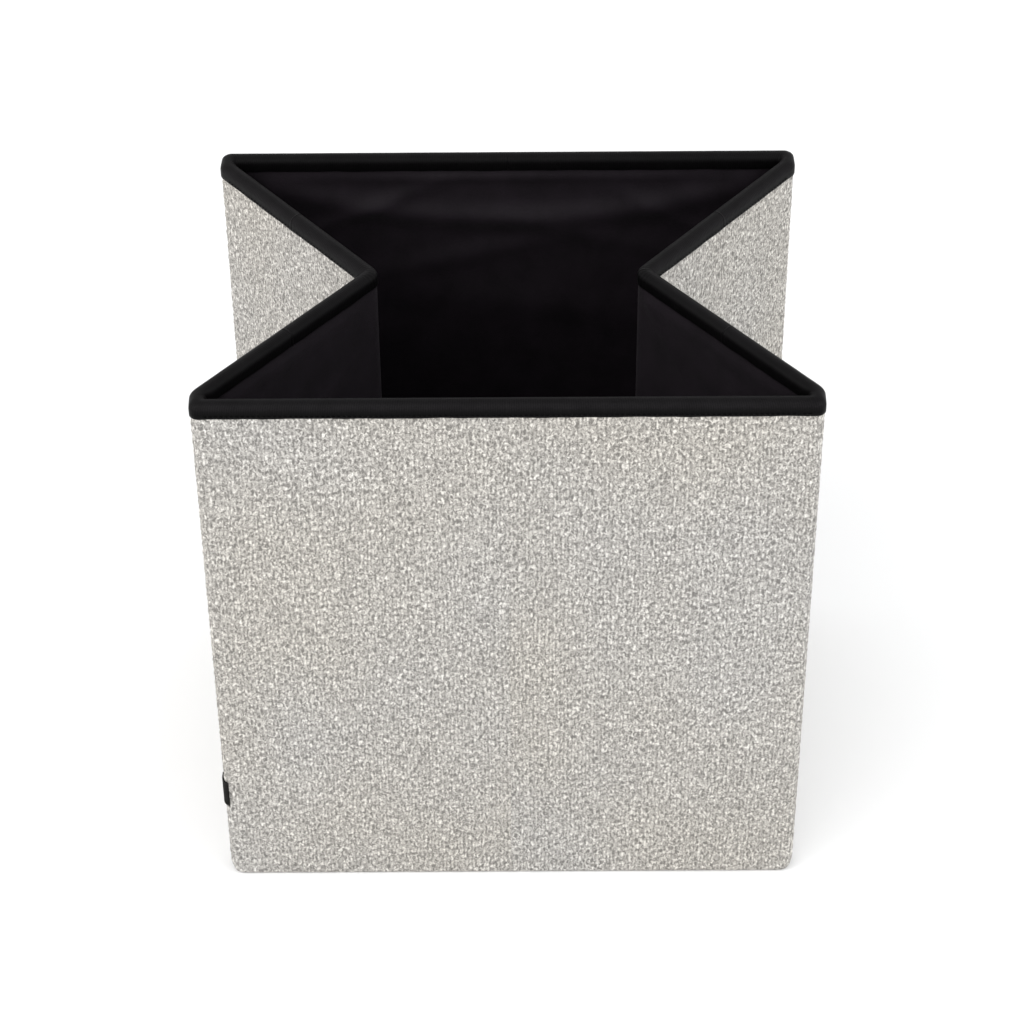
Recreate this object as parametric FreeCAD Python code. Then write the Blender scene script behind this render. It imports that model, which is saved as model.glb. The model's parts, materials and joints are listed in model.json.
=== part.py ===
import FreeCAD, Part
import os
from math import cos, radians, sin

# Folding storage ottoman, the body without its lid: four board walls in a fabric cover, open at the top.
# The two side walls are creased down the middle and fold inwards, so the front and back walls come together.
# Frame: millimetres, +Z up, +Y towards the back. The origin is on the floor at the middle of the part-folded body.
# The two side walls and the back wall are mirror images of one modelled corner, the front left one.

Vector = FreeCAD.Vector
os.makedirs("parts", exist_ok=True)

# driving dimensions
WIDTH = 380.0            # across the front wall, over its top binding
OPEN_DEPTH = 336.0       # front to back over the covers, when the side walls are straight
HEIGHT = 400.0           # floor to the top of the binding
REST_FOLD = 38.5         # degrees each half of a side wall has swung inwards from straight

COVER_THICKNESS = 2.4    # outer fabric
BOARD_THICKNESS = 5.0
LINING_THICKNESS = 1.6
BINDING_HEIGHT = 10.0    # tape folded over the rim
BINDING_TOP = 2.0        # tape above the edge of the board

CORNER_GAP = 4.0         # soft hinge between a wall's inner face and the end of the side wall
VALLEY_GAP = 2.0         # soft hinge between the two halves of a side wall
HINGE_PLAY = 0.3         # clearance round the cloth in each soft hinge
END_INSET = 0.8          # the front and back covers stop this far inside the ends of their binding
BOTTOM_RADIUS = 9.0      # rounded lower corners of the front and back walls
SIDE_RADIUS = 4.0        # rounded lower corners of the side wall halves

LABEL_LENGTH = 9.8
LABEL_HEIGHT = 21.0
LABEL_BOTTOM = 66.0

BASE_THICKNESS = 1.8     # doubled base cloth
BASE_HINGE_SETBACK = 1.5 # hinge line of the base cloth, inwards from the wall's inner face
BASE_HINGE_HEIGHT = 1.3
BASE_END_MARGIN = 6.0    # from a side wall to the corner of the base cloth
BASE_MIDDLE_GAP = 1.0    # each half of the base cloth stops this far short of the middle
GUSSET_THICKNESS = 0.8
GUSSET_CLEARANCE = 1.6

# derived dimensions
WALL = COVER_THICKNESS + BOARD_THICKNESS + LINING_THICKNESS
HALF_WIDTH = WIDTH / 2.0
BODY_TOP = HEIGHT - BINDING_HEIGHT
BOARD_TOP = HEIGHT - BINDING_TOP
BOARD_BACK = COVER_THICKNESS + BOARD_THICKNESS
FOLD = radians(REST_FOLD)
PIVOT_SETBACK = WALL + CORNER_GAP
HINGE_SPAN = OPEN_DEPTH / 2.0 - PIVOT_SETBACK
SIDE_LENGTH = HINGE_SPAN - VALLEY_GAP / 2.0
HALF_DEPTH = PIVOT_SETBACK + HINGE_SPAN * cos(FOLD) + WALL * sin(FOLD)
PIVOT = Vector(-HALF_WIDTH + WALL, -HALF_DEPTH + PIVOT_SETBACK, 0)
ALONG_SIDE = Vector(sin(FOLD), cos(FOLD), 0)
INTO_BOX = Vector(cos(FOLD), -sin(FOLD), 0)


def box(x, y, z):
    """Block between the low and high ends of x, y and z."""
    return Part.makeBox(x[1] - x[0], y[1] - y[0], z[1] - z[0], Vector(x[0], y[0], z[0]))


def rounded_slab(x, y, z, radius):
    """Upright slab with its two lower corners rounded, seen along y."""
    y0 = y[0]
    turn = radius * (1.0 - cos(radians(45)))
    left_low = Vector(x[0] + turn, y0, z[0] + turn)
    right_low = Vector(x[1] - turn, y0, z[0] + turn)
    corners = [
        Vector(x[0], y0, z[1]),
        Vector(x[0], y0, z[0] + radius),
        Vector(x[0] + radius, y0, z[0]),
        Vector(x[1] - radius, y0, z[0]),
        Vector(x[1], y0, z[0] + radius),
        Vector(x[1], y0, z[1]),
    ]
    edges = [
        Part.LineSegment(corners[0], corners[1]).toShape(),
        Part.Arc(corners[1], left_low, corners[2]).toShape(),
        Part.LineSegment(corners[2], corners[3]).toShape(),
        Part.Arc(corners[3], right_low, corners[4]).toShape(),
        Part.LineSegment(corners[4], corners[5]).toShape(),
        Part.LineSegment(corners[5], corners[0]).toShape(),
    ]
    outline = Part.Face(Part.Wire(edges))
    return outline.extrude(Vector(0, y[1] - y0, 0))


def wall_pieces(length, inset, radius):
    """Board, cover, lining and binding of one wall, with x along it and y from its outer to its inner face."""
    cover_x = (inset, length - inset)
    board_x = (inset + COVER_THICKNESS, length - inset - COVER_THICKNESS)
    board_y = (COVER_THICKNESS, BOARD_BACK)
    board_radius = radius - COVER_THICKNESS
    board = rounded_slab(board_x, board_y, (COVER_THICKNESS, BOARD_TOP), board_radius)
    pocket = rounded_slab(board_x, (COVER_THICKNESS, WALL), (COVER_THICKNESS, HEIGHT), board_radius)
    cover = rounded_slab(cover_x, (0, BOARD_BACK), (0, BODY_TOP), radius).cut(pocket)
    lining = rounded_slab(cover_x, (BOARD_BACK, WALL), (0, BODY_TOP), radius)
    channel = box(board_x, board_y, (BODY_TOP, BOARD_TOP))
    binding = box((0, length), (0, WALL), (BODY_TOP, HEIGHT)).cut(channel)
    return {"board": board, "cover": cover, "lining": lining, "binding": binding}


def front_wall():
    """The front wall, already in place."""
    pieces = wall_pieces(WIDTH, END_INSET, BOTTOM_RADIUS)
    for shape in pieces.values():
        shape.translate(Vector(-HALF_WIDTH, -HALF_DEPTH, 0))
    return pieces


def fold_into_place(shape):
    """Turns a shape about the front left corner hinge, from straight to the rest fold."""
    shape.rotate(PIVOT, Vector(0, 0, 1), -REST_FOLD)
    return shape


def left_front_half():
    """The front half of the left side wall, folded to rest."""
    pieces = wall_pieces(SIDE_LENGTH, 0.0, SIDE_RADIUS)
    for shape in pieces.values():
        shape.rotate(Vector(0, 0, 0), Vector(0, 0, 1), -90)
        shape.translate(Vector(-HALF_WIDTH, PIVOT.y + SIDE_LENGTH, 0))
        fold_into_place(shape)
    return pieces


def corner_hinge():
    """Folded cloth between the front wall and the end of the left side wall."""
    x = (-HALF_WIDTH + END_INSET, PIVOT.x - HINGE_PLAY)
    y = (-HALF_DEPTH + WALL, PIVOT.y - HINGE_PLAY)
    return box(x, y, (BOTTOM_RADIUS, BODY_TOP))


def valley_hinge():
    """Folded cloth between the two halves of the left side wall, fixed to the front half."""
    x = (-HALF_WIDTH + HINGE_PLAY, PIVOT.x - HINGE_PLAY)
    y_end = PIVOT.y + SIDE_LENGTH
    strip = box(x, (y_end, y_end + VALLEY_GAP - 2.0 * HINGE_PLAY), (SIDE_RADIUS, BODY_TOP))
    return fold_into_place(strip)


def label():
    """Blank folded tab sewn into the lower left corner seam of the front wall."""
    x = (-HALF_WIDTH, -HALF_WIDTH + END_INSET)
    y0 = -HALF_DEPTH + COVER_THICKNESS
    return box(x, (y0, y0 + LABEL_LENGTH), (LABEL_BOTTOM, LABEL_BOTTOM + LABEL_HEIGHT))


def base_hinge_line():
    """A point on the hinge line of the front half of the base cloth."""
    return Vector(0, -HALF_DEPTH + WALL + BASE_HINGE_SETBACK, BASE_HINGE_HEIGHT)


def base_length():
    return OPEN_DEPTH / 2.0 - BASE_MIDDLE_GAP - WALL - BASE_HINGE_SETBACK


def base_half():
    """Front half of the base cloth: cut back at 45 degrees at both ends and swung up as far as the walls fold."""
    hinge = base_hinge_line()
    reach = base_length()
    half_long = HALF_WIDTH - WALL - BASE_END_MARGIN
    z = BASE_HINGE_HEIGHT - BASE_THICKNESS / 2.0
    points = [
        Vector(-half_long, hinge.y, z),
        Vector(half_long, hinge.y, z),
        Vector(half_long - reach, hinge.y + reach, z),
        Vector(-half_long + reach, hinge.y + reach, z),
    ]
    cloth = Part.Face(Part.makePolygon(points + points[:1])).extrude(Vector(0, 0, BASE_THICKNESS))
    cloth.rotate(hinge, Vector(1, 0, 0), REST_FOLD)
    return cloth


def gusset():
    """Slack triangle of base cloth between the left front side wall and the raised base cloth."""
    hinge = base_hinge_line()
    reach = base_length() - 2.0 * GUSSET_CLEARANCE
    floor = Vector(0, 0, BASE_HINGE_HEIGHT)
    under = Vector(0, sin(FOLD), -cos(FOLD)) * (BASE_THICKNESS + GUSSET_CLEARANCE)
    slope = Vector(1, cos(FOLD), sin(FOLD))
    base_corner = Vector(PIVOT.x + BASE_END_MARGIN - GUSSET_CLEARANCE, hinge.y, hinge.z)
    near_corner = PIVOT + floor + ALONG_SIDE * BASE_END_MARGIN + INTO_BOX * GUSSET_CLEARANCE
    at_valley = PIVOT + floor + ALONG_SIDE * (SIDE_LENGTH - GUSSET_CLEARANCE) + INTO_BOX * GUSSET_CLEARANCE
    at_ridge = base_corner + slope * reach + under
    flat = Part.Face(Part.makePolygon([near_corner, at_valley, at_ridge, near_corner]))
    normal = (at_valley - near_corner).cross(at_ridge - near_corner)
    normal.normalize()
    if normal.z < 0:
        normal = normal * -1.0
    return flat.extrude(normal * GUSSET_THICKNESS)


def mirrored(shape, across_x, across_y):
    if across_x:
        shape = shape.mirror(Vector(0, 0, 0), Vector(1, 0, 0))
    if across_y:
        shape = shape.mirror(Vector(0, 0, 0), Vector(0, 1, 0))
    return shape


def export(name, shape):
    if not shape.isValid() or len(shape.Solids) != 1:
        raise RuntimeError(name + " is not one valid solid")
    shape.exportStep("parts/" + name + ".step")


def main():
    sides = (("left", False), ("right", True))
    ends = (("front", False), ("back", True))
    for end, is_back in ends:
        for piece, shape in front_wall().items():
            export(end + "_" + piece, mirrored(shape, False, is_back))
        export("base_" + end, mirrored(base_half(), False, is_back))
        for side, is_right in sides:
            for piece, shape in left_front_half().items():
                export(side + "_" + end + "_" + piece, mirrored(shape, is_right, is_back))
            export(end + "_" + side + "_corner_hinge", mirrored(corner_hinge(), is_right, is_back))
            export("base_gusset_" + side + "_" + end, mirrored(gusset(), is_right, is_back))
    for side, is_right in sides:
        export(side + "_valley_hinge", mirrored(valley_hinge(), is_right, False))
    export("label_tab", label())
    print("half depth", round(HALF_DEPTH, 3), "pivot", PIVOT, "hinge span", HINGE_SPAN)


main()
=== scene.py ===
import json
import math
from collections import namedtuple
import bpy
import numpy as np
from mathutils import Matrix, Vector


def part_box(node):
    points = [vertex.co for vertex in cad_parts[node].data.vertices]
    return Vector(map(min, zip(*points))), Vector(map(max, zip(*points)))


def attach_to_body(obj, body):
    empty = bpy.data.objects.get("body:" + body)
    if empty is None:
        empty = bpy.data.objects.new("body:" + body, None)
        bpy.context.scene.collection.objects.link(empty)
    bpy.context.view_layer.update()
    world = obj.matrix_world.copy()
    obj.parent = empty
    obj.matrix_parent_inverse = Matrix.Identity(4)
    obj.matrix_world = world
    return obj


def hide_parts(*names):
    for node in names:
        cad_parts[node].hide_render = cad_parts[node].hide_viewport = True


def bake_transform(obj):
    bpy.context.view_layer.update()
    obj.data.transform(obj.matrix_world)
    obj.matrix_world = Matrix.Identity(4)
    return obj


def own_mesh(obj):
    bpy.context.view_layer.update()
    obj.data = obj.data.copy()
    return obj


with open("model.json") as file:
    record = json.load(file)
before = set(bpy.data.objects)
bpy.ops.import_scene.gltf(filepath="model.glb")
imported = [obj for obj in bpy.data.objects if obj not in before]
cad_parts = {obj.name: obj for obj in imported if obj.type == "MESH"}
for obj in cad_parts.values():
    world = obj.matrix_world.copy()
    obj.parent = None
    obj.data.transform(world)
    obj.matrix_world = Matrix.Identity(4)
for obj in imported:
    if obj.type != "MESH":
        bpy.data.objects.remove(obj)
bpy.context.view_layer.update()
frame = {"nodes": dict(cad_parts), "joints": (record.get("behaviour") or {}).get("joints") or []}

# A folding storage ottoman, part folded, in metres: +Z up, +Y to the back, floor at z = 0.
# The walls are followed clockwise, seen from above, as an outer and an inner outline in plan.
# The outlines are worked out for the front left quarter and mirrored for the other three.

MM = 0.001
JOINTS = {joint["name"]: joint for joint in frame["joints"]}
TAPE_LOW, TAPE_HIGH = (np.array(corner, float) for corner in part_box("front_binding"))
HALF_WIDTH = TAPE_HIGH[0]
HALF_DEPTH = -TAPE_LOW[1]
WALL = TAPE_HIGH[1] - TAPE_LOW[1]
HEIGHT = TAPE_HIGH[2]
INNER_DEPTH = HALF_DEPTH - WALL

FOLD = math.radians(-JOINTS["left_front_fold"]["range_deg"][0])
MORE_FOLD = math.radians(JOINTS["left_front_fold"]["range_deg"][1])
PIVOT = np.array(JOINTS["left_front_fold"]["pos_m"][:2], float)
CREASE = np.array(JOINTS["left_valley_fold"]["pos_m"][:2], float)
ALONG = np.array([math.sin(FOLD), math.cos(FOLD)])
INWARD = np.array([math.cos(FOLD), -math.sin(FOLD)])
SIDE_SPAN = float((CREASE - PIVOT) @ ALONG)

EDGE_RADIUS = 5.0 * MM          # upright edges of the front and back walls
HEM_RADIUS = 2.5 * MM           # lower edge of the cover
WALL_CORNER_RADIUS = 9.0 * MM   # lower corners of the front and back walls
SIDE_CORNER_RADIUS = 4.0 * MM   # lower corners of the side walls
TAPE_DROP = 10.4 * MM           # how far the binding tape reaches down from the rim
CLOTH_TOP = HEIGHT - TAPE_DROP + 2.0 * MM
COVER_STEP = 1.3 * MM
LINING_STEP = 2.6 * MM
TAPE_STEP = 1.2 * MM
TAPE_SECTION_STEP = 1.4 * MM     # cloth from one row of the tape's section to the next
OUTER_LAP = 3.0 * MM            # how far a corner's cover reaches along the side wall
INNER_LAP = 7.0 * MM            # how far a corner's lining reaches along it
WALL_FOOT = 3.2 * MM            # how far the foot of a front, back or corner lining turns in
SIDE_FOOT = 5.0 * MM            # how far the foot of a side lining turns in
BASE_SAG = 2.5 * MM             # how far the base cloth hangs below a straight slope
SEED = 4

Stretch = namedtuple("Stretch", "name parts bodies")


# ---------------------------------------------------------------- outlines in plan

def line(*points):
    return np.array(points, float)


def arc(centre, radius, start, end, count=16):
    """Points on a circle in plan, from one angle to another in radians."""
    angle = np.linspace(start, end, count)
    return np.array(centre) + radius * np.stack([np.cos(angle), np.sin(angle)], axis=1)


def joined(*paths):
    """Paths end to end, with repeated points taken out."""
    points = np.concatenate(paths)
    step = np.linalg.norm(np.diff(points, axis=0), axis=1)
    return points[np.concatenate([[True], step > 1e-7])]


def outer_side(distance):
    return PIVOT - WALL * INWARD + distance * ALONG


def inner_side(distance):
    return PIVOT + distance * ALONG


def quarter():
    """(outer, inner) outline of each part, from the middle of the front wall to the left crease."""
    edge = (-HALF_WIDTH + EDGE_RADIUS, -HALF_DEPTH + EDGE_RADIUS)
    rounded_edge = arc(edge, EDGE_RADIUS, -math.pi / 2, -math.pi)
    round_pivot = arc(PIVOT, WALL, math.pi, math.pi - FOLD)
    middle, end = SIDE_SPAN / 2, SIDE_SPAN - 6 * MM
    fold_line = (CREASE[0] - 0.3 * MM, 0)
    return {
        "panel": (
            line((0, -HALF_DEPTH), (edge[0], -HALF_DEPTH)),
            line((0, -INNER_DEPTH), (PIVOT[0], -INNER_DEPTH)),
        ),
        "corner": (
            joined(rounded_edge, round_pivot, line(outer_side(OUTER_LAP))),
            line((PIVOT[0], -INNER_DEPTH), PIVOT, inner_side(INNER_LAP)),
        ),
        "near": (
            line(outer_side(OUTER_LAP), outer_side(middle)),
            line(inner_side(INNER_LAP), inner_side(middle)),
        ),
        "far": (
            line(outer_side(middle), outer_side(end)),
            line(inner_side(middle), inner_side(end)),
        ),
        "crease": (
            line(outer_side(end), outer_side(SIDE_SPAN - 1 * MM), fold_line),
            joined(line(inner_side(end)), arc(CREASE, WALL, -FOLD, 0)),
        ),
    }


QUARTER = quarter()


def parts(names, right, back):
    """Parts of the quarter mirrored into place, clockwise round the box."""
    flip = np.array([-1.0 if right else 1.0, -1.0 if back else 1.0])
    placed = [tuple(path * flip for path in QUARTER[name]) for name in names.split()]
    if right == back:
        return placed
    return [tuple(path[::-1] for path in part) for part in reversed(placed)]


def outside_stretches():
    """The cover and binding clockwise, in lengths that join in the middle of flat walls.
    The right crease is split, because no joint joins its two halves."""
    crease = parts("far crease", False, False) + parts("far crease", False, True)
    return [
        Stretch("front_left", parts("panel corner near", False, False), ["front", "left_front"]),
        Stretch("left_valley", crease, ["left_front", "left_back"]),
        Stretch("back_left", parts("panel corner near", False, True), ["left_back", "back"]),
        Stretch("back_right", parts("panel corner near", True, True), ["back", "right_back"]),
        Stretch("right_back", parts("far crease", True, True), ["right_back"]),
        Stretch("right_front", parts("far crease", True, False), ["right_front"]),
        Stretch("front_right", parts("panel corner near", True, False), ["right_front", "front"]),
    ]


def inside_stretches():
    """The lining wall by wall, with narrow lengths round the corners and the left crease."""
    crease = parts("crease", False, False) + parts("crease", False, True)
    return [
        Stretch("front", parts("panel", True, False) + parts("panel", False, False), ["front"]),
        Stretch("front_left_corner", parts("corner", False, False), ["front", "left_front"]),
        Stretch("left_front", parts("near far", False, False), ["left_front"]),
        Stretch("left_valley", crease, ["left_front", "left_back"]),
        Stretch("left_back", parts("near far", False, True), ["left_back"]),
        Stretch("back_left_corner", parts("corner", False, True), ["left_back", "back"]),
        Stretch("back", parts("panel", False, True) + parts("panel", True, True), ["back"]),
        Stretch("back_right_corner", parts("corner", True, True), ["back", "right_back"]),
        Stretch("right_back", parts("near far crease", True, True), ["right_back"]),
        Stretch("right_front", parts("near far crease", True, False), ["right_front"]),
        Stretch("front_right_corner", parts("corner", True, False), ["right_front", "front"]),
    ]


def tuck_stretches():
    """Cloth of each half tucked into the right crease; it shows inside as the side folds further."""
    centre = CREASE * [-1, 1]
    lap = 0.02
    tucks = []
    for body, start, end in (
        ("right_back", math.pi - FOLD, math.pi + MORE_FOLD + lap),
        ("right_front", math.pi - MORE_FOLD - lap, math.pi + FOLD),
    ):
        paths = tuple(arc(centre, radius, start, end, 20) for radius in (1.0 * MM, WALL - 0.8 * MM))
        tucks.append(Stretch(body + "_valley", [paths], [body]))
    return tucks


def length_of(path):
    return float(np.linalg.norm(np.diff(path, axis=0), axis=1).sum())


def evenly(path, count):
    """count points evenly spaced along a path."""
    run = np.concatenate([[0], np.cumsum(np.linalg.norm(np.diff(path, axis=0), axis=1))])
    at = np.linspace(0, run[-1], count)
    return np.stack([np.interp(at, run, path[:, k]) for k in (0, 1)], axis=1)


def stations(stretch, step):
    """Matching points of the outer and inner outlines, about a step apart, all along a stretch."""
    outer, inner = [], []
    for paths in stretch.parts:
        count = max(4, round(max(map(length_of, paths)) / step) + 1)
        skip = 1 if outer else 0
        outer.append(evenly(paths[0], count)[skip:])
        inner.append(evenly(paths[1], count)[skip:])
    return np.concatenate(outer), np.concatenate(inner)


def running(points):
    """How far along the points each one is."""
    return np.concatenate([[0], np.cumsum(np.linalg.norm(np.diff(points, axis=0), axis=1))])


def outward(points):
    """Unit normals in plan of points in clockwise order, pointing out of the box."""
    tangent = np.gradient(points, axis=0)
    tangent /= np.linalg.norm(tangent, axis=1)[:, None]
    return np.stack([-tangent[:, 1], tangent[:, 0]], axis=1)


OUTSIDE = outside_stretches()
INSIDE = inside_stretches()


def girth_starts():
    """How far round the box each outside stretch starts, and the whole way round."""
    starts, total = {}, 0.0
    for stretch in OUTSIDE:
        starts[stretch.name] = total
        total += sum(length_of(outer) for outer, _ in stretch.parts)
    return starts, total


STARTS, GIRTH = girth_starts()


# ---------------------------------------------------------------- mesh helpers

def new_object(name, points, faces, material, uv=None, smooth=True):
    mesh = bpy.data.meshes.new(name)
    mesh.from_pydata(points, [], faces)
    mesh.update()
    mesh.polygons.foreach_set("use_smooth", np.full(len(mesh.polygons), smooth))
    if uv is not None:
        layer = mesh.uv_layers.new(name="UVMap")
        corners = np.zeros(len(mesh.loops), dtype=np.int32)
        mesh.loops.foreach_get("vertex_index", corners)
        layer.data.foreach_set("uv", np.asarray(uv, np.float32)[corners].ravel())
    mesh.materials.append(material)
    piece = bpy.data.objects.new(name, mesh)
    bpy.context.scene.collection.objects.link(piece)
    return piece


def grid_faces(columns, rows, closed=False, flip=False):
    """Quads of a grid whose vertex (i, j) is number i * rows + j; closed joins last row to first."""
    i, j = np.meshgrid(np.arange(columns - 1), np.arange(rows if closed else rows - 1), indexing="ij")
    k = (j + 1) % rows
    quads = np.stack([i * rows + j, (i + 1) * rows + j, (i + 1) * rows + k, i * rows + k], axis=-1)
    quads = quads.reshape(-1, 4)
    return (quads[:, ::-1] if flip else quads).tolist()


def attach(piece, stretch):
    """The piece rides on its one body; a piece over a corner or crease, between two bodies, stays fixed
    in place.
    """
    bodies = stretch.bodies
    if len(bodies) == 1:
        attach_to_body(piece, bodies[0])
        return
    if "valley" in stretch.name:
        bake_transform(piece)
        return
    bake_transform(piece)


OUTSIDE_NODES = {
    "front_left": ["front", "front_left_corner"],
    "left_valley": ["left_front", "left_back", "left_valley"],
    "back_left": ["back", "back_left_corner"],
    "back_right": ["back_right_corner"],
    "right_back": ["right_back"],
    "right_front": ["right_front", "right_valley"],
    "front_right": ["front_right_corner"],
}


def stands_for(piece, stretch, part):
    """The outside piece replaces the CAD nodes it covers; the cover also replaces hinge strips."""
    for name in OUTSIDE_NODES[stretch.name]:
        if f"{name}_{part}" in frame["nodes"]:
            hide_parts(f"{name}_{part}")
        elif part == "cover":
            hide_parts(name + "_hinge")


# ---------------------------------------------------------------- fabric relief

NOISE_STEP = 0.6 * MM
NOISE_SHAPE = (int(GIRTH / NOISE_STEP), 720)


def band_noise(size_round, size_up, spread, seed):
    """Random relief that repeats at its edges, with lumps of about the given width and height."""
    random = np.random.default_rng(seed)
    wave = np.fft.rfft2(random.standard_normal(NOISE_SHAPE))
    k_round = np.fft.fftfreq(NOISE_SHAPE[0], GIRTH / NOISE_SHAPE[0])[:, None] * size_round
    k_up = np.fft.rfftfreq(NOISE_SHAPE[1], NOISE_STEP)[None, :] * size_up
    keep = np.exp(-((np.hypot(k_round, k_up) - 1.0) ** 2) / (2 * spread**2))
    relief = np.fft.irfft2(wave * keep, NOISE_SHAPE)
    return relief / relief.std()


def boucle_relief():
    """Height of the curls all round the cover, -1 to 1: round nubs and upright ribs, in patches."""
    nubs = band_noise(3.6 * MM, 3.6 * MM, 0.30, SEED)
    ribs = band_noise(3.2 * MM, 7.0 * MM, 0.28, SEED + 1)
    patches = np.clip(0.5 + 0.25 * band_noise(120 * MM, 120 * MM, 0.5, SEED + 2), 0.15, 0.85)
    return np.tanh(1.1 * (nubs * (1 - patches) + ribs * patches))


RELIEF = boucle_relief()


def relief_at(round_box, up):
    """The relief at distances round the box and heights, by bilinear interpolation."""
    a = round_box / GIRTH * NOISE_SHAPE[0] % NOISE_SHAPE[0]
    b = up / NOISE_STEP % NOISE_SHAPE[1]
    i, j = a.astype(int) % NOISE_SHAPE[0], b.astype(int) % NOISE_SHAPE[1]
    u, v = a - np.floor(a), b - np.floor(b)
    i2, j2 = (i + 1) % NOISE_SHAPE[0], (j + 1) % NOISE_SHAPE[1]
    low = RELIEF[i, j] * (1 - u) + RELIEF[i2, j] * u
    high = RELIEF[i, j2] * (1 - u) + RELIEF[i2, j2] * u
    return low * (1 - v) + high * v


# ---------------------------------------------------------------- materials

class Shader:
    """A material under construction, with short calls that make and link its nodes."""

    def __init__(self, name, colour, roughness, sheen=0.0, sheen_roughness=0.5, specular=0.3):
        self.material = bpy.data.materials.new(name)
        self.material.use_nodes = True
        self.tree = self.material.node_tree
        self.surface = self.tree.nodes["Principled BSDF"]
        self.surface.inputs["Base Color"].default_value = (*colour, 1)
        self.surface.inputs["Roughness"].default_value = roughness
        self.surface.inputs["Specular IOR Level"].default_value = specular
        self.surface.inputs["Sheen Weight"].default_value = sheen
        self.surface.inputs["Sheen Roughness"].default_value = sheen_roughness

    def node(self, kind, **settings):
        node = self.tree.nodes.new("ShaderNode" + kind)
        for key, value in settings.items():
            setattr(node, key, value)
        return node

    def plug(self, value, socket):
        """A number or colour is set on the socket; another node's output is linked to it."""
        if isinstance(value, bpy.types.NodeSocket):
            self.tree.links.new(value, socket)
        elif isinstance(value, tuple):
            socket.default_value = (*value, 1)
        else:
            socket.default_value = value

    def coordinates(self, source, scale):
        place, mapping = self.node("TexCoord"), self.node("Mapping")
        mapping.inputs["Scale"].default_value = scale
        self.plug(place.outputs[source], mapping.inputs["Vector"])
        return mapping.outputs["Vector"]

    def noise(self, scale, detail=2.0, distortion=0.0, source="UV"):
        """Noise with about scale lumps a metre in each direction; the UVs hold metres of cloth."""
        noise = self.node("TexNoise")
        for key, value in (("Scale", 1.0), ("Detail", detail), ("Distortion", distortion)):
            noise.inputs[key].default_value = value
        self.plug(self.coordinates(source, scale), noise.inputs["Vector"])
        return noise.outputs["Fac"]

    def along_v(self):
        """The second UV coordinate by itself."""
        split = self.node("SeparateXYZ")
        self.plug(self.node("TexCoord").outputs["UV"], split.inputs["Vector"])
        return split.outputs["Y"]

    def threads(self, per_metre, direction, distortion=0.6):
        wave = self.node("TexWave", wave_type="BANDS", bands_direction=direction)
        wave.inputs["Scale"].default_value = 1.0
        wave.inputs["Distortion"].default_value = distortion
        scale = per_metre * math.pi / 10
        self.plug(self.coordinates("UV", (scale, scale, 1)), wave.inputs["Vector"])
        return wave.outputs["Fac"]

    def maths(self, operation, a, b):
        node = self.node("Math", operation=operation)
        self.plug(a, node.inputs[0])
        self.plug(b, node.inputs[1])
        return node.outputs[0]

    def weighted(self, *pairs):
        """Sum of (value, weight) pairs."""
        total = None
        for value, weight in pairs:
            term = self.maths("MULTIPLY", value, weight)
            total = term if total is None else self.maths("ADD", total, term)
        return total

    def ramp(self, factor, *stops):
        ramp = self.node("ValToRGB")
        elements = ramp.color_ramp.elements
        while len(elements) < len(stops):
            elements.new(0.5)
        for element, (at, colour) in zip(elements, stops):
            element.position = at
            element.color = (*colour, 1)
        self.plug(factor, ramp.inputs["Fac"])
        return ramp.outputs["Color"]

    def multiply(self, a, b):
        node = self.node("Mix", data_type="RGBA", blend_type="MULTIPLY")
        node.inputs["Factor"].default_value = 1.0
        self.plug(a, node.inputs[6])
        self.plug(b, node.inputs[7])
        return node.outputs[2]

    def colour(self, source):
        self.plug(source, self.surface.inputs["Base Color"])

    def bump(self, *layers):
        """Stacks (height, distance in metres, strength) layers of bump on the surface."""
        normal = None
        for height, distance, strength in layers:
            bump = self.node("Bump")
            bump.inputs["Distance"].default_value = distance
            bump.inputs["Strength"].default_value = strength
            self.plug(height, bump.inputs["Height"])
            if normal is not None:
                self.plug(normal, bump.inputs["Normal"])
            normal = bump.outputs["Normal"]
        self.plug(normal, self.surface.inputs["Normal"])


def boucle_material():
    """Light warm grey boucle: lighter on the raised curls and darker down in the gaps, partly the
    yarn's own tone and partly painted highlight and painted shade, with fine yarn strands.
    """
    m = Shader("boucle_cover", (0.42, 0.40, 0.38), 0.95, sheen=0.06, sheen_roughness=0.6, specular=0.2)
    nub = m.node("Attribute", attribute_name="nub").outputs["Fac"]
    curls = m.noise((520, 380, 1), detail=1.5, distortion=1.0)
    strands = m.noise((1500, 900, 1), detail=2.0, distortion=0.5)
    ribs = m.threads(410, "X", 5.0)
    height = m.weighted((nub, 0.28), (curls, 1.9), (strands, 0.7), (ribs, 0.18))
    # Colour by curl height: high curls lighter and low gaps darker, partly the yarn's tone and partly
    # painted highlight on the curls and painted shade in the gaps.
    yarn = m.ramp(
        m.maths("SUBTRACT", height, 1.05),
        (0.12, (0.188, 0.181, 0.170)),
        (0.42, (0.358, 0.344, 0.325)),
        (0.66, (0.520, 0.500, 0.472)),
        (0.95, (0.820, 0.800, 0.765)),
    )
    slow = m.noise((8, 6, 1), detail=1.0)
    tint = m.ramp(slow, (0.35, (1.0, 0.985, 0.955)), (0.65, (0.985, 0.985, 0.985)))
    m.colour(m.multiply(yarn, tint))
    m.bump((curls, 1.0 * MM, 0.6), (strands, 0.35 * MM, 0.5))
    return m.material


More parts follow.
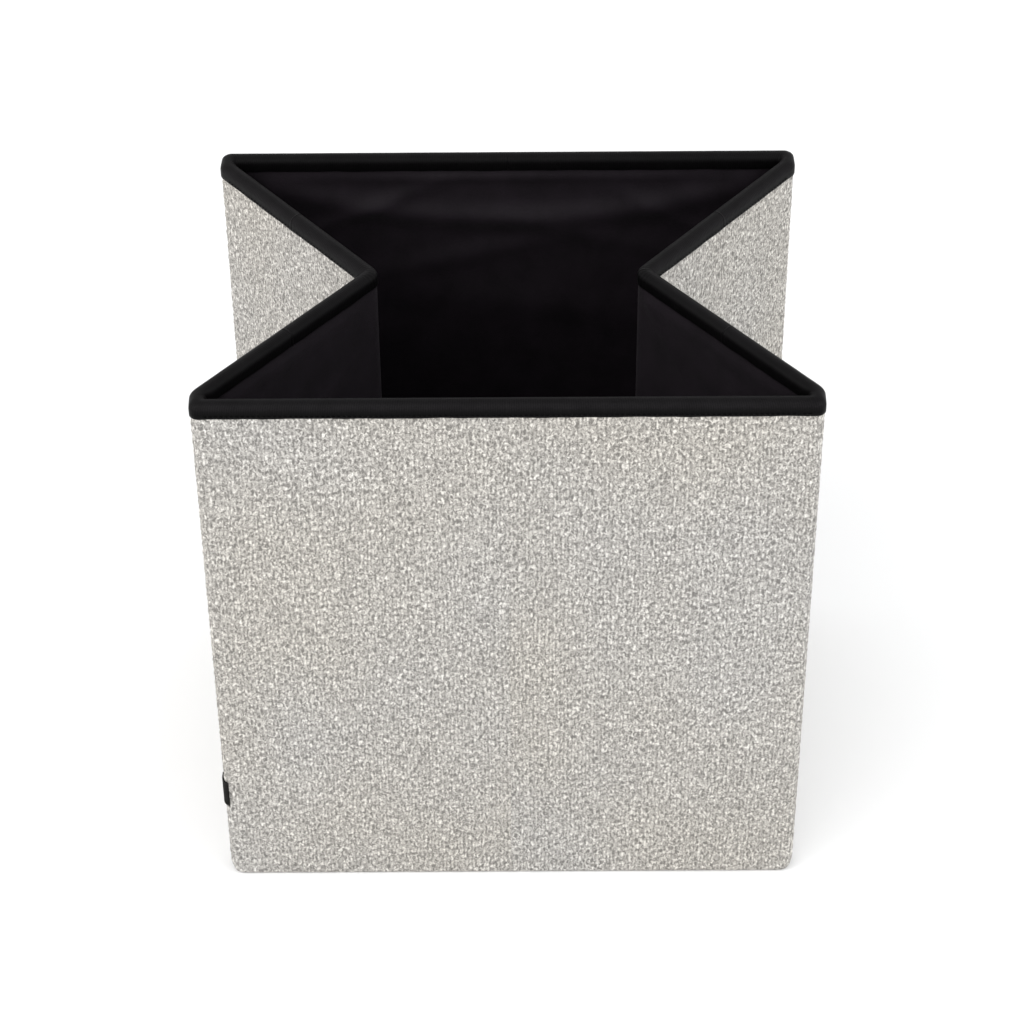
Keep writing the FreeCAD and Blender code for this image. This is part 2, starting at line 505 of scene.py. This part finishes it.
def black_cloth(name, base, roughness, threads_per_metre, wrinkle, sheen):
    """Black cloth with a fine square weave and a slight unevenness."""
    m = Shader(name, base, roughness, sheen=sheen, sheen_roughness=0.45, specular=0.16)
    across, along = (m.threads(threads_per_metre, direction) for direction in ("X", "Y"))
    weave = m.maths("MULTIPLY", across, along)
    uneven = m.noise((45, 35, 1), detail=4.0)
    fuzz = m.noise((900, 900, 1), detail=2.0)
    shade = m.weighted((uneven, 0.6), (fuzz, 0.4))
    darker, lighter = (tuple(share * c for c in base) for share in (0.6, 1.5))
    m.colour(m.ramp(shade, (0.3, darker), (0.7, lighter)))
    m.bump((uneven, wrinkle, 0.5), (weave, 0.12 * MM, 0.5), (fuzz, 0.1 * MM, 0.4))
    return m.material


def tape_material():
    """Black woven binding tape: fine ribs and fuzz across it, with a painted highlight along its top
    shoulder and painted shade on its lower outer face and its inner face.
    """
    black = (0.0028, 0.0024, 0.0027)
    m = Shader("woven_tape", black, 0.45, sheen=0.002, sheen_roughness=0.4, specular=0.055)
    ribs = m.threads(700, "X", 0.8)
    fuzz = m.noise((1300, 700, 1), detail=2.5)
    slow = m.noise((70, 90, 1), detail=3.0)
    shade = m.weighted((fuzz, 0.45), (slow, 0.35), (ribs, 0.20))
    yarn = m.ramp(shade, (0.3, (0.0040, 0.0036, 0.0040)), (0.7, (0.0130, 0.0119, 0.0130)))
    outer_edge, top, inner_edge = (TAPE_SECTION_STEP * row for row in (2, 8, 17))
    across_tape = m.maths("DIVIDE", m.along_v(), inner_edge)
    # Painted highlight along the tape's top shoulder and painted shade on its lower outer face and
    # inside, set by the row across the tape.
    painted_highlight_and_shade = m.ramp(
        across_tape,
        (outer_edge / inner_edge, (0.05, 0.05, 0.05)),
        (0.6 * top / inner_edge, (1.0, 1.0, 1.0)),
        (top / inner_edge, (0.75, 0.75, 0.75)),
        (1.0, (0.3, 0.3, 0.3)),
    )
    m.colour(m.multiply(yarn, painted_highlight_and_shade))
    m.bump((slow, 0.5 * MM, 0.35), (ribs, 0.10 * MM, 0.5), (fuzz, 0.12 * MM, 0.5))
    return m.material


def board_material():
    """Raw grey-brown board with short fibres."""
    m = Shader("grey_board", (0.33, 0.28, 0.21), 0.85)
    fibres = m.noise((420, 420, 420), detail=6.0, source="Object")
    m.colour(m.ramp(fibres, (0.3, (0.24, 0.20, 0.15)), (0.7, (0.40, 0.34, 0.26))))
    m.bump((fibres, 0.2 * MM, 0.5))
    return m.material


COVER_CLOTH = boucle_material()
LINING_CLOTH = black_cloth("black_lining", (0.0085, 0.0060, 0.0085), 0.62, 2200, 0.8 * MM, 0.03)
BASE_CLOTH = black_cloth("black_base_cloth", (0.0060, 0.0050, 0.0062), 0.80, 1400, 0.6 * MM, 0.03)
LABEL_CLOTH = black_cloth("black_ribbon", (0.0026, 0.0020, 0.0016), 0.75, 3000, 0.1 * MM, 0.0)
TAPE_CLOTH = tape_material()
BOARD = board_material()


# ---------------------------------------------------------------- outer cover

def rounded_corner(inset, radius):
    """Height of a rounded lower corner at a distance inside the wall's end."""
    missing = np.clip(radius - inset, 0, radius)
    return radius - np.sqrt(radius**2 - missing**2)


def lower_edge(points):
    """Height of the cover's lower edge at each plan point: the lower corners are rounded."""
    quarter_points = -np.abs(points)
    wall = rounded_corner(HALF_WIDTH + quarter_points[:, 0], WALL_CORNER_RADIUS)
    side = rounded_corner((quarter_points - outer_side(0)) @ ALONG, SIDE_CORNER_RADIUS)
    gap_start, gap_end = -INNER_DEPTH, outer_side(OUTER_LAP)[1]
    t = np.clip((quarter_points[:, 1] - gap_start) / (gap_end - gap_start), 0, 1)
    t = t * t * (3 - 2 * t)
    return wall * (1 - t) + side * t


def cover_piece(stretch):
    """Boucle cover of one stretch: nubbly face, rounded lower edge and a strip turned under."""
    points, _ = stations(stretch, COVER_STEP)
    at = running(points)
    count = len(points)
    normals = outward(points)
    bottom = lower_edge(points)
    turned_under = HEM_RADIUS + 0.3 * MM
    inward, height = [], []
    for share in np.linspace(0, 1, round((CLOTH_TOP - HEM_RADIUS) / COVER_STEP) + 1):
        inward.append(np.zeros(count))
        height.append(CLOTH_TOP * (1 - share) + (bottom + HEM_RADIUS) * share)
    for angle in np.radians((30, 60, 90)):
        inward.append(np.full(count, HEM_RADIUS * (1 - math.cos(angle))))
        height.append(bottom + HEM_RADIUS * (1 - math.sin(angle)))
    inward.append(np.full(count, turned_under))
    height.append(bottom + 0.1 * MM)
    inward, height = np.stack(inward, axis=1), np.stack(height, axis=1)
    round_box = np.repeat((STARTS[stretch.name] + at)[:, None], height.shape[1], axis=1)
    nub = relief_at(round_box, height + inward)
    above_hem = np.clip((height - bottom[:, None]) / (4 * MM), 0.15, 1.0)
    lift = 0.45 * MM * nub * above_hem - 0.3 * MM * (1 - above_hem)
    lift[:, -1] = 0
    plan = points[:, None, :] + normals[:, None, :] * (lift - inward)[:, :, None]
    place = np.concatenate([plan, height[:, :, None]], axis=2).reshape(-1, 3)
    uv = np.stack([round_box, height - inward], axis=2).reshape(-1, 2)
    faces = grid_faces(*height.shape)
    piece = new_object("cover_" + stretch.name, place, faces, COVER_CLOTH, uv)
    attribute = piece.data.attributes.new("nub", "FLOAT", "POINT")
    attribute.data.foreach_set("value", (0.5 + 0.5 * nub).astype(np.float32).ravel())
    attach(piece, stretch)
    stands_for(piece, stretch, "cover")


# ---------------------------------------------------------------- binding

def tape_section():
    """Closed section of the folded tape: (share of the wall's width, extra outwards, depth)."""
    proud, inside, thick, shoulder, hem = 1.0 * MM, 0.7 * MM, 0.8 * MM, 5.0 * MM, 0.6 * MM
    section = [
        (0, 0.5 * proud, TAPE_DROP),
        (0, proud, TAPE_DROP - hem),
        (0, proud, shoulder + 2.5 * MM),
    ]
    for angle in np.radians(np.linspace(0, 180, 15)):
        share = 0.5 - 0.5 * math.cos(angle)
        extra = proud * (1 - share) - inside * share
        section.append((share, extra, shoulder * (1 - math.sin(angle))))
    section += [
        (1, -inside, TAPE_DROP - hem),
        (1, -0.6 * inside, TAPE_DROP),
        (1, 0.2 * MM, TAPE_DROP),
        (0.9, 0, shoulder + thick),
        (0.5, 0, 2 * thick),
        (0.1, 0, shoulder + thick),
        (0, 0, TAPE_DROP),
    ]
    return section


def waviness(run, sizes_mm, phase):
    """Slow unevenness along the rim, -1 to 1, that joins up all the way round."""
    total = np.zeros_like(run)
    for k, size in enumerate(sizes_mm):
        turns = max(1, round(GIRTH / (size * MM)))
        total += np.sin(2 * math.pi * turns * run / GIRTH + 1.7 * k + phase)
    return total / len(sizes_mm)


def tape_piece(stretch, drop=0.0):
    """Binding tape over the rim of one stretch, a little wavy along its lower edges."""
    out, into = stations(stretch, TAPE_STEP)
    across = out - into
    across /= np.linalg.norm(across, axis=1)[:, None]
    run = STARTS.get(stretch.name, 0.0) + running(out)
    section = tape_section()
    place = np.zeros((len(out), len(section), 3))
    uv = np.zeros((len(out), len(section), 2))
    for j, (share, extra, below) in enumerate(section):
        low = below / TAPE_DROP
        edge_wave = 0.30 * MM * low**3 * waviness(run, (97, 41, 23), 2.0 * (share > 0.5))
        puff = 0.18 * MM * waviness(run, (61, 29, 17), 4.0 * share)
        offset = extra + (0.5 - share) * puff
        place[:, j, :2] = out * (1 - share) + into * share + across * offset[:, None]
        place[:, j, 2] = HEIGHT - drop - below + edge_wave
        uv[:, j, 0] = run
        uv[:, j, 1] = TAPE_SECTION_STEP * j
    faces = grid_faces(len(out), len(section), closed=True, flip=True)
    last = (len(out) - 1) * len(section)
    faces.append(list(range(len(section))))
    faces.append(list(range(last, last + len(section)))[::-1])
    name = "binding_" + stretch.name
    piece = new_object(name, place.reshape(-1, 3), faces, TAPE_CLOTH, uv.reshape(-1, 2))
    attach(piece, stretch)
    return piece


def stitch_row(stretch):
    """Row of short black stitches that holds the tape, just above its outer lower edge."""
    pitch, stitch_long, radius = 3.2 * MM, 2.3 * MM, 0.28 * MM
    seam_height = HEIGHT - TAPE_DROP + 1.9 * MM
    outer, _ = stations(stretch, TAPE_STEP)
    run = running(outer)
    number = int((run[-1] - 4 * MM) / pitch)
    first = (run[-1] - number * pitch) / 2
    points, faces = [], []
    sides = 6
    ring = [(math.cos(a), math.sin(a)) for a in np.linspace(0, 2 * math.pi, sides, endpoint=False)]
    profile = [(-0.5, 0.25), (-0.35, 1.0), (0.35, 1.0), (0.5, 0.25)]
    for stitch in range(number):
        middle = first + (stitch + 0.5) * pitch
        start = len(points)
        for along, thickness in profile:
            at = middle + along * stitch_long
            behind, here, ahead = (
                np.array([np.interp(at + offset, run, outer[:, k]) for k in (0, 1)])
                for offset in (-0.5 * MM, 0, 0.5 * MM)
            )
            tangent = (ahead - behind) / np.linalg.norm(ahead - behind)
            normal = np.array([-tangent[1], tangent[0]])
            bow = 0.95 * MM + 0.15 * MM * (1 - (2 * along) ** 2)
            for up, out in ring:
                plan = here + normal * (bow + out * radius * thickness)
                points.append((plan[0], plan[1], seam_height + up * radius * thickness))
        for ring_number in range(len(profile) - 1):
            for k in range(sides):
                a = start + ring_number * sides + k
                b = start + ring_number * sides + (k + 1) % sides
                faces.append((a, b, b + sides, a + sides))
    piece = new_object("stitches_" + stretch.name, points, faces, TAPE_CLOTH)
    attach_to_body(piece, stretch.bodies[0])


# ---------------------------------------------------------------- lining

def soft_fold(x, z, centre, tilt, length, width):
    """A fold as a raised line in a hanging cloth: 1 at its centre, fading along it and across it."""
    dx, dz = x - centre[0], z - centre[1]
    along = dx * math.cos(tilt) + dz * math.sin(tilt)
    across = -dx * math.sin(tilt) + dz * math.cos(tilt)
    return np.exp(-((along / length) ** 2) - (across / width) ** 2)


def back_slack(x, below):
    """How far the back lining stands off its board: a swag under the rim, pulls from its ends."""
    middle = np.clip(1 - (x / (0.9 * HALF_WIDTH)) ** 2, 0, 1)
    swag = np.exp(-(((below - (20 + 28 * middle) * MM) / (9 * MM)) ** 2)) * middle**0.5
    roll = np.exp(-(((below - 15 * MM) / (4 * MM)) ** 2)) * middle
    slack = 4.6 * MM * swag + 1.6 * MM * roll
    for centre_x, depth, tilt, length, width, lift in (
        (-105, 45, -24, 60, 6, 2.8),
        (-30, 78, -14, 85, 9, 2.4),
        (55, 62, 16, 70, 8, 1.8),
        (115, 50, 30, 45, 6, 2.0),
        (20, 120, 8, 110, 14, 2.2),
    ):
        centre = (centre_x * MM, -depth * MM)
        slack += lift * MM * soft_fold(x, -below, centre, math.radians(-tilt), length * MM, width * MM)
    return slack


def wall_slack(x, below, length, seed):
    """Slack in a side or front lining: a puff under the binding and slanting pulls."""
    random = np.random.default_rng(seed)
    slack = 1.0 * MM * np.exp(-(((below - 19 * MM) / (6 * MM)) ** 2))
    for _ in range(5):
        centre = (random.uniform(-0.4, 0.4) * length, -random.uniform(30, 130) * MM)
        tilt = math.radians(random.choice([-1, 1]) * random.uniform(20, 45))
        size = random.uniform(25, 55) * MM
        slack += random.uniform(0.6, 1.3) * MM * soft_fold(x, -below, centre, tilt, size, 5 * MM)
    return slack


def lining_piece(stretch, seed):
    """Black lining of one stretch, from under the binding to a foot turned in on the floor."""
    _, points = stations(stretch, LINING_STEP)
    at = running(points)
    length = at[-1]
    count = len(points)
    normals = outward(points)
    rows = round(CLOTH_TOP / LINING_STEP) + 1
    depths = np.linspace(HEIGHT - CLOTH_TOP, HEIGHT - 1.2 * MM, rows)
    x, below = np.meshgrid(at - length / 2, depths, indexing="ij")
    if stretch.name == "back":
        slack = back_slack(x, below)
    elif len(stretch.bodies) == 1 and "valley" not in stretch.name:
        slack = wall_slack(x, below, length, seed)
    else:
        slack = np.zeros_like(x)
    slack += 0.2 * MM * relief_at(x * 0.05 + 0.1 * seed, below * 0.06)
    near_end = np.clip((length / 2 - np.abs(x)) / (14 * MM), 0, 1) ** 2
    near_rim = np.clip((below - TAPE_DROP) / (6 * MM), 0, 1)
    near_floor = np.clip((HEIGHT - below) / (60 * MM), 0, 1)
    slack = slack * near_end * near_rim * near_floor - 0.2 * MM
    if "valley" not in stretch.name:
        side_wall = len(stretch.bodies) == 1 and stretch.name not in ("front", "back")
        slack[:, -1] = SIDE_FOOT if side_wall else WALL_FOOT
    plan = points[:, None, :] - normals[:, None, :] * slack[:, :, None]
    place = np.concatenate([plan, (HEIGHT - below)[:, :, None]], axis=2).reshape(-1, 3)
    uv = np.stack([x + 0.31 * seed, HEIGHT - below], axis=2).reshape(-1, 2)
    faces = grid_faces(count, rows, flip=True)
    piece = new_object("lining_" + stretch.name, place, faces, LINING_CLOTH, uv)
    attach(piece, stretch)
    if stretch.name == "back":
        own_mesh(piece)
    if stretch.name + "_lining" in frame["nodes"]:
        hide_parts(stretch.name + "_lining")


# ---------------------------------------------------------------- base cloth

BASE_HINGE = np.array(JOINTS["base_front_fold"]["pos_m"], float)
BASE_HIGH = np.array(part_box("base_front")[1], float)
BASE_REACH = (-0.3 * MM - BASE_HINGE[1]) / math.cos(FOLD)   # up to the ridge, where the halves meet
BASE_HALF_LONG = BASE_HIGH[0]
FLOOR_RINGS = (    # rings of cloth about a corner's pivot, which overlap a little
    ("inner", 3 * MM, 0.62 * SIDE_SPAN),
    ("outer", 0.57 * SIDE_SPAN, SIDE_SPAN - 2 * MM),
)


def mirrored(points, right, back):
    return points * [-1.0 if right else 1.0, -1.0 if back else 1.0, 1.0]


def on_slope(x, reach, sag):
    """Points of the front base cloth, which the walls lift into a slope, at reach from its hinge."""
    y = BASE_HINGE[1] + reach * math.cos(FOLD) - sag * math.sin(FOLD)
    z = BASE_HINGE[2] + reach * math.sin(FOLD) + sag * math.cos(FOLD)
    return np.stack([x, y, np.maximum(z, 0.9 * MM)], axis=2)


def base_half(back):
    """Half of the base cloth between its two cut ends."""
    end = "back" if back else "front"
    a, b = np.meshgrid(np.linspace(-1, 1, 121), np.linspace(0, 1, 51), indexing="ij")
    x = a * (BASE_HALF_LONG - b * BASE_REACH)
    hanging = np.sin(math.pi * b)
    sag = -BASE_SAG * hanging**2 + 0.9 * MM * relief_at(x * 0.08 + 0.5, b * 0.03) * hanging
    points = mirrored(on_slope(x, b * BASE_REACH, sag).reshape(-1, 3), False, back)
    uv = np.stack([x, b * BASE_REACH], axis=2).reshape(-1, 2)
    faces = grid_faces(*a.shape, flip=not back)
    piece = new_object("base_cloth_" + end, points, faces, BASE_CLOTH, uv)
    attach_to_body(piece, f"base_{end}_half")
    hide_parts("base_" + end)


def base_gusset(right, back):
    """Slack triangle of the base cloth between its cut end and the side wall."""
    side, end = "right" if right else "left", "back" if back else "front"
    a, b = np.meshgrid(np.linspace(0, 1, 25), np.linspace(0.001, 1, 51), indexing="ij")
    reach = b * BASE_REACH
    plan_y = BASE_HINGE[1] + reach * math.cos(FOLD)
    at_wall = PIVOT[0] + np.maximum(plan_y - PIVOT[1], 0) * math.tan(FOLD) + 1.2 * MM
    x = at_wall + (reach - BASE_HALF_LONG + 0.8 * MM - at_wall) * a
    hanging = np.sin(math.pi * b)
    uneven = 1.5 * MM * np.sin(math.pi * a) * relief_at(x * 0.12, b * 0.04)
    sag = -BASE_SAG * hanging**2 + uneven - 0.3 * MM
    points = mirrored(on_slope(x, reach, sag).reshape(-1, 3), right, back)
    uv = np.stack([x, reach], axis=2).reshape(-1, 2)
    name = f"base_gusset_cloth_{side}_{end}"
    faces = grid_faces(*a.shape, flip=right == back)
    piece = new_object(name, points, faces, BASE_CLOTH, uv)
    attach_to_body(piece, f"base_{end}_half")
    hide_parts(f"base_gusset_{side}_{end}")


def floor_corner(right, back, ring, near, far):
    """Flat ring of base cloth round a corner of the floor, spread over the angle at which the side wall
    stands open.
    """
    side, end = "right" if right else "left", "back" if back else "front"
    a, b = np.meshgrid(np.linspace(0.02, 1, 41), np.linspace(near, far, 21), indexing="ij")
    angle = a * (math.pi / 2 - FOLD)
    x = PIVOT[0] + b * np.cos(angle)
    y = PIVOT[1] + b * np.sin(angle)
    z = np.full_like(x, (0.5 if back else 0.3) * MM)
    points = mirrored(np.stack([x, y, z], axis=2).reshape(-1, 3), right, back)
    uv = np.stack([x, y], axis=2).reshape(-1, 2)
    name = f"base_corner_cloth_{side}_{end}_{ring}"
    faces = grid_faces(*a.shape, flip=right != back)
    piece = new_object(name, points, faces, BASE_CLOTH, uv)
    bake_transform(piece)


# ---------------------------------------------------------------- small pieces

def label_piece():
    """Blank black ribbon sewn round the left edge of the front wall."""
    low, high = (np.array(corner, float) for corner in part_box("label_tab"))
    edge = (-HALF_WIDTH + EDGE_RADIUS, -HALF_DEPTH + EDGE_RADIUS)
    front_end = -0.61 * math.pi     # angle round the wall's edge at which the ribbon stops
    layers = []
    for lift in (1.3 * MM, 0.6 * MM):
        radius = EDGE_RADIUS + lift
        on_end = line((edge[0] - radius, edge[1] + 5 * MM))
        layers.append(evenly(joined(on_end, arc(edge, radius, -math.pi, front_end)), 16))
    section = np.concatenate([layers[0], layers[1][::-1]])
    rows, count = 9, len(section)
    place = np.zeros((rows, count, 3))
    place[:, :, :2] = section
    place[:, :, 2] = np.linspace(low[2], high[2], rows)[:, None]
    uv = np.stack([np.repeat(running(section)[None, :], rows, axis=0), place[:, :, 2]], axis=2)
    faces = grid_faces(rows, count, closed=True)
    for row in (0, rows - 1):
        for k in range(count // 2 - 1):
            quad = [row * count + n for n in (k, k + 1, count - 2 - k, count - 1 - k)]
            faces.append(quad if row else quad[::-1])
    piece = new_object("label_ribbon", place.reshape(-1, 3), faces, LABEL_CLOTH, uv.reshape(-1, 2))
    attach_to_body(piece, "front")
    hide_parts("label_tab")


def finish_boards():
    for name, node in frame["nodes"].items():
        if name.endswith("_board"):
            node.data.materials.clear()
            node.data.materials.append(BOARD)


# ---------------------------------------------------------------- camera and studio

def make_camera():
    """Camera in front of the box and above it, looking down on its open top."""
    data = bpy.data.cameras.new("camera")
    data.sensor_width = 36.0
    data.lens = 106.2
    camera = bpy.data.objects.new("camera", data)
    camera.location = (0.0094, -1.5733, 1.4882)
    camera.rotation_euler = [math.radians(angle) for angle in (50.737, 0.384, -0.029)]
    bpy.context.scene.collection.objects.link(camera)
    bpy.context.scene.camera = camera


def area_light(name, location, size, power, colour=(1, 1, 1)):
    """Square soft light that points at the middle of the box."""
    data = bpy.data.lights.new(name, "AREA")
    data.size = size
    data.energy = power
    data.color = colour
    light = bpy.data.objects.new(name, data)
    light.location = location
    x, y, z = np.array([0, 0, 0.2]) - location
    light.rotation_euler = (math.atan2(math.hypot(x, y), -z), 0, math.atan2(-x, y))
    bpy.context.scene.collection.objects.link(light)


def make_studio():
    """White floor, an even white surround and three large soft lights."""
    size = 6.0
    corners = [(-size, -size, 0), (size, -size, 0), (size, size, 0), (-size, size, 0)]
    paint = Shader("studio_floor", (0.98, 0.98, 0.98), 0.9)
    floor = new_object("studio_floor", corners, [(0, 1, 2, 3)], paint.material, smooth=False)
    world = bpy.data.worlds.new("studio")
    world.use_nodes = True
    world.node_tree.nodes["Background"].inputs["Color"].default_value = (1, 1, 1, 1)
    world.node_tree.nodes["Background"].inputs["Strength"].default_value = 0.88
    bpy.context.scene.world = world
    bpy.context.scene.view_settings.view_transform = "Standard"
    area_light("key_light", (-0.7, -1.7, 2.4), 1.6, 14)
    area_light("left_light", (-2.0, -1.0, 1.8), 1.4, 22)
    area_light("right_light", (2.0, -1.0, 1.8), 1.4, 22, (0.94, 0.97, 1.0))


def build():
    for stretch in OUTSIDE:
        cover_piece(stretch)
        stands_for(tape_piece(stretch), stretch, "binding")
    for number, stretch in enumerate(INSIDE):
        lining_piece(stretch, number)
        if len(stretch.bodies) == 1:
            stitch_row(stretch)
    for tuck in tuck_stretches():
        lining_piece(tuck, len(INSIDE))
        tape_piece(tuck, drop=0.5 * MM)
    for back in (False, True):
        base_half(back)
        for right in (False, True):
            base_gusset(right, back)
            for ring, near, far in FLOOR_RINGS:
                floor_corner(right, back, ring, near, far)
    label_piece()
    finish_boards()


make_camera()
make_studio()
build()
